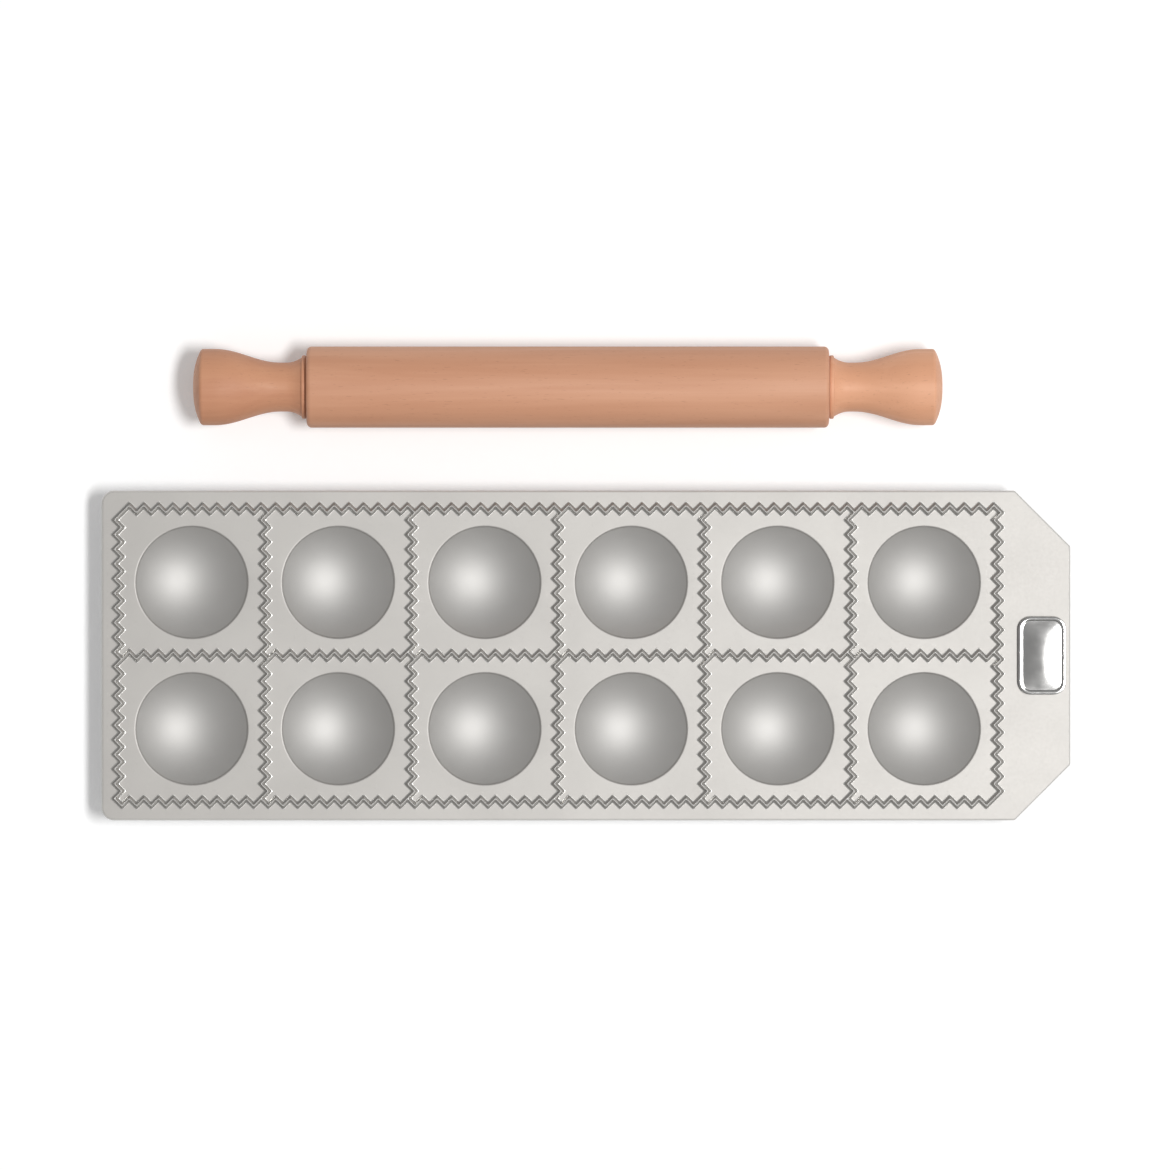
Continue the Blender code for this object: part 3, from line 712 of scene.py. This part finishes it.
def make_floor_material():
    """White floor that keeps its shadows, lifted to white only for what looks at it."""
    material = bpy.data.materials.new("floor_white")
    material.use_nodes = True
    tree = material.node_tree
    tree.nodes.clear()
    path = add_node(tree, "ShaderNodeLightPath").outputs
    seen = maths(tree, "MAXIMUM", path["Is Camera Ray"], path["Is Glossy Ray"])
    seen = maths(tree, "MAXIMUM", seen, path["Is Transmission Ray"])
    matt = add_node(tree, "ShaderNodeBsdfDiffuse", {"Color": FLOOR_COLOUR})
    strength = maths(tree, "MULTIPLY", seen, FLOOR_WHITE)
    lift = add_node(tree, "ShaderNodeEmission", {"Strength": strength})
    both = add_node(tree, "ShaderNodeAddShader", {0: matt.outputs[0], 1: lift.outputs[0]})
    add_node(tree, "ShaderNodeOutputMaterial", {"Surface": both.outputs[0]})
    return material


# Tray

def cell_places():
    """Middle of each cell."""
    places = []
    for row in range(ROWS):
        for column in range(COLUMNS):
            x = PATTERN_LEFT + (column + 0.5) * CELL
            y = TRAY_Y + (row + 0.5 - ROWS / 2) * CELL
            places.append(Vector((x, y)))
    return places


def screw_places():
    """Middle of each screw, front row first."""
    side = TRAY_SIDE - BOSS_FROM_EDGE
    return [Vector((PATTERN_LEFT + line * CELL, TRAY_Y + y)) for y in (-side, side) for line in SCREW_LINES]


def badge_pin_places():
    """Middle of each pin of the badge."""
    x = (BADGE_LOW.x + BADGE_HIGH.x) / 2
    return [Vector((x, TRAY_Y + side * PIN_SPACING / 2)) for side in (-1, 1)]


def plate_outline(inset):
    """Outline of the tray's plate with its cut corners at the tongue, an inset away from its edge."""
    left, right = TRAY_LOW.x + inset, TRAY_HIGH.x - inset
    front, back = TRAY_LOW.y + inset, TRAY_HIGH.y - inset
    cut = TONGUE_CUT - (2 - math.sqrt(2)) * inset
    square = TRAY_CORNER - inset
    blunt = max(TONGUE_CORNER - inset, LEAST_CORNER)
    corners = [
        (left, front, square),
        (right - cut, front, blunt),
        (right, front + cut, blunt),
        (right, back - cut, blunt),
        (right - cut, back, blunt),
        (left, back, square)]
    return rounded_path(corners, CORNER_STEPS, closed=True)


def add_cells(shape, ridge):
    """Flat and bowl of each cell, with its side of the ridges round it."""
    bowl = sphere_profile(BOWL_RADIUS, PLATE_HIGH, BOWL_RIM)
    levels = [(toothed_level(1, 1, inset), PLATE_HIGH + height) for inset, height in ridge]
    for place in cell_places():
        rings = [add_ring(shape, level, z, place.x, place.y) for level, z in levels]
        bridge(shape, rings)
        fill(shape, [rings[-1], add_turned(shape, bowl, BOWL_SEGMENTS, place.x, place.y)[0]])


def add_cups_and_bosses(shape):
    """Outsides of the bowls and blind bosses for the screws. Gives their rings on the plate's underside."""
    rings = []
    cup = sphere_profile(CUP_RADIUS, PLATE_LOW, CUP_FILLET)
    for place in cell_places():
        rings.append(add_turned(shape, cup, BOWL_SEGMENTS, place.x, place.y)[0])
    boss_low = BASE_HIGH.z - SHEET + GAP
    boss = rounded_path([
        (BOSS_RADIUS + 2 * BOSS_FILLET, PLATE_LOW, 0),
        (BOSS_RADIUS, PLATE_LOW, BOSS_FILLET),
        (BOSS_RADIUS, boss_low, BOSS_FILLET / 2),
        (SCREW_HOLE, boss_low, 0),
        (SCREW_HOLE, PLATE_HIGH - SCREW_ROOF, 0),
        (0, PLATE_HIGH - SCREW_ROOF, 0)], ARC_STEPS, closed=False)[1:]
    for place in screw_places():
        rings.append(add_turned(shape, boss, SMALL_SEGMENTS, place.x, place.y)[0])
    return rings


def make_tray(material):
    """Casting in one mesh: toothed ridges, bowls, plate with rounded edges, cups and bosses."""
    shape = bmesh.new()
    ridge = ridge_profile()
    add_cells(shape, ridge)
    field = []
    for inset, height in ridge:
        level = toothed_level(COLUMNS, ROWS, -inset)
        field.append(add_ring(shape, level, PLATE_HIGH + height, PATTERN_MIDDLE, TRAY_Y))
    bridge(shape, field)

    edge = edge_profile(PLATE_LOW, PLATE_HIGH, PLATE_UNDER_EDGE, PLATE_EDGE, CORNER_STEPS)
    plate = [add_ring(shape, plate_outline(inset), z) for inset, z in edge]
    bridge(shape, plate)

    holes = [circle(*place, PIN_HOLE, SMALL_SEGMENTS) for place in badge_pin_places()]
    walls = [add_hole(shape, hole, PLATE_LOW, PLATE_HIGH) for hole in holes]
    fill(shape, [plate[0], field[-1]] + [upper for upper, _ in walls])
    fill(shape, [plate[-1]] + [lower for _, lower in walls] + add_cups_and_bosses(shape))
    mesh = finish_mesh("tray_casting", shape)
    add_piece("tray_casting", mesh, material, "mould", ["mould_plate"])


# Steel base

def base_ring(shape, inset, z):
    """Ring round the base, an inset away from its outline."""
    left, right = BASE_LOW.x + inset, BASE_HIGH.x - inset
    front, back = BASE_LOW.y + inset, BASE_HIGH.y - inset
    return add_ring(shape, rectangle(left, right, front, back, BASE_CORNER - inset), z)


def window_outlines():
    """Windows in the flange for the cups, between the straps that the screws go through."""
    reach = CUP_REACH + CUP_CLEARANCE
    lines = [0, *SCREW_LINES, COLUMNS]
    side = (ROWS - 1) / 2 * CELL + reach
    windows = []
    for first, last in zip(lines, lines[1:]):
        left = PATTERN_LEFT + (first + 0.5) * CELL - reach
        right = PATTERN_LEFT + (last - 0.5) * CELL + reach
        windows.append(rectangle(left, right, TRAY_Y - side, TRAY_Y + side, WINDOW_CORNER))
    return windows


def mouth_outline():
    """Opening under the base: all of it but the narrow lips and a tab for a foot at each corner."""
    left, right = BASE_LOW.x + LIP, BASE_HIGH.x - LIP
    front, back = BASE_LOW.y + LIP, BASE_HIGH.y - LIP
    corners = [
        (left + FOOT_TAB, front),
        (right - FOOT_TAB, front),
        (right, front + FOOT_TAB),
        (right, back - FOOT_TAB),
        (right - FOOT_TAB, back),
        (left + FOOT_TAB, back),
        (left, back - FOOT_TAB),
        (left, front + FOOT_TAB)]
    return rounded_path([(x, y, TAB_ROUND) for x, y in corners], CORNER_STEPS, closed=True)


def foot_places():
    """Middle of each foot, by the name of its node."""
    left, right = BASE_LOW.x + FOOT_INSET, BASE_HIGH.x - FOOT_INSET
    front, back = BASE_LOW.y + FOOT_INSET, BASE_HIGH.y - FOOT_INSET
    return {
        "foot_front_left": Vector((left, front)),
        "foot_front_right": Vector((right, front)),
        "foot_back_left": Vector((left, back)),
        "foot_back_right": Vector((right, back))}


def make_base(material):
    """Folded sheet with rounded bends: flange with windows, walls, lips and tabs for the feet."""
    shape = bmesh.new()
    low, high = BASE_LOW.z, BASE_HIGH.z
    outer_bend = edge_profile(low, high, BEND, BEND, CORNER_STEPS)
    outside = [base_ring(shape, inset, z) for inset, z in outer_bend]
    bridge(shape, outside)
    inner_bend = edge_profile(low + SHEET, high - SHEET, BEND - SHEET, BEND - SHEET, CORNER_STEPS)
    inside = [base_ring(shape, SHEET + inset, z) for inset, z in inner_bend]
    bridge(shape, inside)

    holes = window_outlines() + [circle(*place, BOSS_HOLE, SMALL_SEGMENTS) for place in screw_places()]
    walls = [add_hole(shape, hole, high - SHEET, high) for hole in holes]
    fill(shape, [outside[0]] + [upper for upper, _ in walls])
    fill(shape, [inside[0]] + [lower for _, lower in walls])

    holes = [mouth_outline()]
    holes += [circle(*place, FOOT_HOLE, SMALL_SEGMENTS) for place in foot_places().values()]
    walls = [add_hole(shape, hole, low, low + SHEET) for hole in holes]
    fill(shape, [inside[-1]] + [upper for upper, _ in walls])
    fill(shape, [outside[-1]] + [lower for _, lower in walls])
    mesh = finish_mesh("base_shell", shape)
    add_piece("base_shell", mesh, material, "mould", ["base_frame"])


def make_feet(material):
    """Rubber feet: a rounded pad, a neck through the lip and a head that holds it."""
    for name, place in foot_places().items():
        low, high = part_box(name)
        radius = (high.x - low.x) / 2
        head_low = BASE_LOW.z + SHEET + GAP
        corners = [
            (0, high.z, 0),
            (FOOT_TIP, high.z, FOOT_EDGE / 2),
            (FOOT_HEAD, head_low, FOOT_EDGE / 3),
            (FOOT_NECK, head_low, 0),
            (FOOT_NECK, FOOT_PAD, 0),
            (radius, FOOT_PAD, FOOT_EDGE / 2),
            (radius, low.z, FOOT_EDGE),
            (0, low.z, 0)]
        mesh = turned_mesh(name, corners, EDGE_STEPS, SMALL_SEGMENTS)
        add_piece(name + "_rubber", mesh, material, "mould", [name], (*place, 0))


def cut_slot(name, mesh, radius, low):
    """Mesh of a screw with a slot across the underside of its head."""
    slot = bmesh.new()
    outline = rectangle(-radius - GAP, radius + GAP, -SLOT_WIDTH / 2, SLOT_WIDTH / 2, 0)
    rings = [add_ring(slot, outline, z) for z in (low - GAP, low + SLOT_DEPTH)]
    bridge(slot, rings)
    for ring in rings:
        slot.faces.new(ring)
    blank = add_object(name, mesh)
    cutter = add_object(name + "_slot", finish_mesh(name + "_slot", slot))
    boolean = blank.modifiers.new("slot", "BOOLEAN")
    boolean.operation = "DIFFERENCE"
    boolean.solver = "EXACT"
    boolean.object = cutter
    depsgraph = bpy.context.evaluated_depsgraph_get()
    cut = bpy.data.meshes.new_from_object(blank.evaluated_get(depsgraph))
    for item in (blank, cutter):
        bpy.data.objects.remove(item)
    cut.set_sharp_from_angle(angle=SMOOTH_ANGLE)
    return cut


def make_screws(material):
    """Slotted screws with wide heads, from below through the flange into the bosses."""
    numbers = range(1, len(SCREW_LINES) + 1)
    names = [f"screw_{side}_{number}" for side in ("front", "back") for number in numbers]
    for name, place in zip(names, screw_places()):
        low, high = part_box(name)
        radius = (high.x - low.x) / 2
        corners = [
            (0, high.z, 0),
            (SCREW_SHANK, high.z, HOLE_EDGE),
            (SCREW_SHANK, low.z + SCREW_HEAD, 0),
            (radius, low.z + SCREW_HEAD, HOLE_EDGE),
            (radius, low.z, SCREW_EDGE),
            (0, low.z, 0)]
        mesh = cut_slot(name, turned_mesh(name, corners, EDGE_STEPS, SMALL_SEGMENTS), radius, low.z)
        add_piece(name + "_steel", mesh, material, "mould", [name], (*place, 0))


# Badge

def add_crowned_field(shape, rim, middle):
    """Surface inside a level rim, crowned smoothly towards its middle."""
    level = rim[0].co.z
    points = [corner.co.to_2d() - middle for corner in rim]
    reach_x = max(point.x for point in points)
    reach_y = max(point.y for point in points)
    rings = [rim]
    for step in range(1, CROWN_STEPS):
        smaller = [point * (1 - step / CROWN_STEPS) for point in points]
        ring = add_ring(shape, smaller, level, *middle)
        for corner, point in zip(ring, smaller):
            bulge = (1 - (point.x / reach_x) ** 2) * (1 - (point.y / reach_y) ** 2)
            corner.co.z += BADGE_CROWN * bulge
        rings.append(ring)
    bridge(shape, rings)
    add_fan(shape, rings[-1], shape.verts.new((*middle, level + BADGE_CROWN)))


def make_badge(material):
    """Bare badge with a rounded rim and a slightly crowned field, on two pins through the tongue."""
    shape = bmesh.new()
    base = PLATE_HIGH + BADGE_SEAT
    top = BADGE_HIGH.z
    outline = rectangle(BADGE_LOW.x, BADGE_HIGH.x, BADGE_LOW.y, BADGE_HIGH.y, BADGE_CORNER)
    outline = divided(outline, CROWN_STRETCH)
    profile = rounded_path([
        (2 * BADGE_EDGE, base, 0),
        (0, base, BADGE_EDGE / 3),
        (0, top, BADGE_EDGE),
        (BADGE_RIM, top, BADGE_EDGE),
        (BADGE_RIM + BADGE_SLOPE, top - BADGE_RECESS, BADGE_SLOPE),
        (BADGE_RIM + 2 * BADGE_SLOPE, top - BADGE_RECESS, 0)], EDGE_STEPS, closed=False)[1:]
    rings = [add_ring(shape, offset_outline(outline, -inset), z) for inset, z in profile]
    bridge(shape, rings)
    add_crowned_field(shape, rings[-1], ((BADGE_LOW + BADGE_HIGH) / 2).to_2d())

    pin = rounded_path([
        (BADGE_PIN, base, 0),
        (BADGE_PIN, BADGE_LOW.z, BADGE_EDGE),
        (0, BADGE_LOW.z, 0)], EDGE_STEPS, closed=False)
    pins = [add_turned(shape, pin, SMALL_SEGMENTS, place.x, place.y)[0] for place in badge_pin_places()]
    fill(shape, [rings[0]] + pins)
    mesh = finish_mesh("badge_plate", shape)
    add_piece("badge_plate", mesh, material, "mould", ["badge"])


def make_clips(material):
    """Push-on spring clips on the badge's pins: a coned ring that presses up against the tongue."""
    for name, place in zip(("badge_clip_front", "badge_clip_back"), badge_pin_places()):
        low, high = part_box(name)
        radius = (high.x - low.x) / 2
        corners = [
            (radius, high.z, CLIP_EDGE),
            (radius, high.z - CLIP_THICKNESS, CLIP_EDGE),
            (CLIP_COLLAR, low.z, CLIP_EDGE),
            (CLIP_BORE, low.z, CLIP_EDGE),
            (CLIP_BORE, low.z + CLIP_THICKNESS, CLIP_EDGE),
            (CLIP_COLLAR, low.z + CLIP_THICKNESS, CLIP_EDGE)]
        mesh = turned_mesh(name, corners, EDGE_STEPS, SMALL_SEGMENTS)
        add_piece(name + "_steel", mesh, material, "mould", [name], (*place, 0))


# Rolling pin

def ease(share):
    """Half a cosine wave, from 0 to 1."""
    return (1 - math.cos(math.pi * share)) / 2


def handle_corners(length, swell):
    """Corners of a handle's profile, from its domed tip to its collar and shoulder, then up its bore."""
    corners = []
    for step in range(DOME_STEPS):
        share = step / DOME_STEPS
        corners.append((swell * share, length - TIP_DOME * share ** TIP_POWER, 0))
    corners.append((swell, length - TIP_DOME, TIP_EDGE))
    for step in range(CURVE_STEPS):
        share = step / CURVE_STEPS
        radius = swell + (NECK_RADIUS - swell) * ease(share)
        corners.append((radius, SWELL_AT + (NECK_AT - SWELL_AT) * share, 0))
    corners.append((NECK_RADIUS, NECK_AT, 0))
    for step in range(FLARE_STEPS + 1):
        share = step / FLARE_STEPS
        radius = NECK_RADIUS + (FLARE_RADIUS - NECK_RADIUS) * share ** 2
        corners.append((radius, FLARE_END + (COLLAR_LENGTH - FLARE_END) * share, 0))
    return corners + [
        (COLLAR_RADIUS, COLLAR_LENGTH, COLLAR_ROUND),
        (COLLAR_RADIUS, 0, COLLAR_EDGE),
        (SHOULDER_RADIUS, 0, 0),
        (SHOULDER_RADIUS, -SHOULDER, SHOULDER / 2),
        (AXLE_BORE, -SHOULDER, SHOULDER / 2),
        (AXLE_BORE, HANDLE_BORE, 0),
        (0, HANDLE_BORE, 0)]


def mirrored(corners):
    """Corners of a profile, and the same below its middle."""
    return corners + [(radius, -height, rounding) for radius, height, rounding in reversed(corners)]


def add_along_pin(name, mesh, material, body, node, offset, side):
    """Turned piece laid along the rolling pin, pointing right (1) or left (-1)."""
    place = (PIN_MIDDLE.x + side * offset, PIN_MIDDLE.y, PIN_MIDDLE.z)
    rotation = (0, side * math.pi / 2, 0)
    add_piece(name, mesh, material, body, [node], place, rotation)


def make_barrel(material):
    """Barrel with rounded ends, bored for its bushes and the axle."""
    seat = BUSH_RADIUS + GAP
    corners = mirrored([
        (AXLE_BORE, BARREL_END - BUSH_LENGTH - GAP, 0),
        (seat, BARREL_END - BUSH_LENGTH - GAP, 0),
        (seat, BARREL_END - BUSH_FLANGE - GAP, 0),
        (FLANGE_RADIUS + GAP, BARREL_END - BUSH_FLANGE - GAP, 0),
        (FLANGE_RADIUS + GAP, BARREL_END, BUSH_EDGE),
        (BARREL_RADIUS, BARREL_END, BARREL_EDGE)])
    mesh = turned_mesh("barrel_wood", corners, CORNER_STEPS, PIN_SEGMENTS)
    add_along_pin("barrel_wood", mesh, material, "pin_roller", "pin_barrel", 0, 1)


def make_bushes(material):
    """Flanged bush in each end of the barrel."""
    corners = [
        (FLANGE_RADIUS, 0, BUSH_EDGE),
        (FLANGE_RADIUS, -BUSH_FLANGE, BUSH_EDGE),
        (BUSH_RADIUS, -BUSH_FLANGE, 0),
        (BUSH_RADIUS, -BUSH_LENGTH, BUSH_EDGE),
        (AXLE_BORE, -BUSH_LENGTH, BUSH_EDGE),
        (AXLE_BORE, 0, BUSH_EDGE)]
    for node, side in (("bush_left", -1), ("bush_right", 1)):
        mesh = turned_mesh(node + "_nylon", corners, EDGE_STEPS, SMALL_SEGMENTS)
        add_along_pin(node + "_nylon", mesh, material, "pin_roller", node, BARREL_END, side)


def make_axle(material):
    """Rod through the barrel into both handles."""
    low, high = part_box("pin_axle")
    reach = (high.x - low.x) / 2
    corners = mirrored([(0, reach, 0), (AXLE_RADIUS, reach, AXLE_EDGE)])
    mesh = turned_mesh("axle_rod", corners, EDGE_STEPS, SMALL_SEGMENTS)
    add_along_pin("axle_rod", mesh, material, "pin_core", "pin_axle", 0, 1)


def make_handle(node, side, material):
    """Handle to the right (1) or the left (-1) of the barrel."""
    low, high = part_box(node)
    corners = handle_corners(high.x - low.x, (high.z - low.z) / 2)
    gap = low.x - BARREL_HIGH.x if side > 0 else BARREL_LOW.x - high.x
    mesh = turned_mesh(node + "_wood", corners, CORNER_STEPS, PIN_SEGMENTS)
    add_along_pin(node + "_wood", mesh, material, "pin_core", node, BARREL_END + gap, side)


# Camera, light and floor

def make_camera():
    """Camera straight above the set, with a long lens."""
    data = bpy.data.cameras.new("camera")
    data.sensor_width = SENSOR
    data.lens = SENSOR * (CAMERA_PLACE[2] - PLATE_HIGH) / FRAME_WIDTH
    camera = add_object("camera", data)
    camera.location = CAMERA_PLACE
    bpy.context.scene.camera = camera


def make_light():
    """Long softbox above, to the right and a little to the front, and a plain grey world."""
    data = bpy.data.lights.new("softbox", "AREA")
    data.shape = "ELLIPSE"
    data.size = KEY_LENGTH
    data.size_y = KEY_WIDTH
    data.energy = KEY_POWER
    light = add_object("softbox", data)
    direction = Vector((math.tan(KEY_RIGHT), -math.tan(KEY_FRONT), 1)).normalized()
    light.location = direction * KEY_DISTANCE
    light.rotation_euler = direction.to_track_quat("Z", "Y").to_euler()

    world = bpy.data.worlds.new("studio")
    world.use_nodes = True
    background = world.node_tree.nodes["Background"]
    background.inputs["Color"].default_value = (WORLD_LEVEL, WORLD_LEVEL, WORLD_LEVEL, 1)
    bpy.context.scene.world = world


def make_floor():
    """Wide white floor under the set."""
    shape = bmesh.new()
    bmesh.ops.create_grid(shape, x_segments=1, y_segments=1, size=FLOOR_SIZE / 2)
    mesh = bpy.data.meshes.new("floor")
    shape.to_mesh(mesh)
    shape.free()
    mesh.materials.append(make_floor_material())
    add_object("floor", mesh)


bpy.context.scene.view_settings.view_transform = "Standard"
make_camera()
make_light()
make_floor()

ZINC = make_plated("zinc_plated_steel", ZINC_COLOUR, least_rough=0.30, most_rough=0.45, scale=300)
CHROME = make_plated("chromed_steel", CHROME_COLOUR, least_rough=0.10, most_rough=0.18, scale=60)
STEEL = make_plated("bright_steel", STEEL_COLOUR, least_rough=0.20, most_rough=0.30, scale=150)
SATIN = make_plated("satin_chrome", SATIN_COLOUR, least_rough=0.10, most_rough=0.14, scale=120)
BARREL_WOOD = make_beech(
    "beech_barrel", shift=(0, 0, 0),
    pale=(0.66, 0.345, 0.215, 1), brown=(0.58, 0.285, 0.17, 1), light=(0.72, 0.40, 0.26, 1))
# Lit and shaded copies of one beech: the left handle is painted darker as painted shade, and the right one
# lighter as painted light, for the light from the right
SHADED_LEFT_WOOD = make_beech(
    "beech_left_painted_shade", shift=(0.7, 0.3, 0.5),
    pale=(0.61, 0.30, 0.173, 1), brown=(0.54, 0.248, 0.141, 1), light=(0.685, 0.358, 0.214, 1))
LIT_RIGHT_WOOD = make_beech(
    "beech_right_painted_light", shift=(0.2, 0.9, 0.1),
    pale=(0.78, 0.41, 0.25, 1), brown=(0.70, 0.35, 0.205, 1), light=(0.86, 0.48, 0.31, 1))

make_tray(make_cast_aluminium())
make_base(CHROME)
make_feet(make_rubber())
make_screws(ZINC)
make_badge(SATIN)
make_clips(ZINC)
make_barrel(BARREL_WOOD)
make_bushes(make_nylon())
make_axle(STEEL)
# Handles in the painted-shade and painted-light copies of the beech
make_handle("pin_handle_left", -1, SHADED_LEFT_WOOD)
make_handle("pin_handle_right", 1, LIT_RIGHT_WOOD)
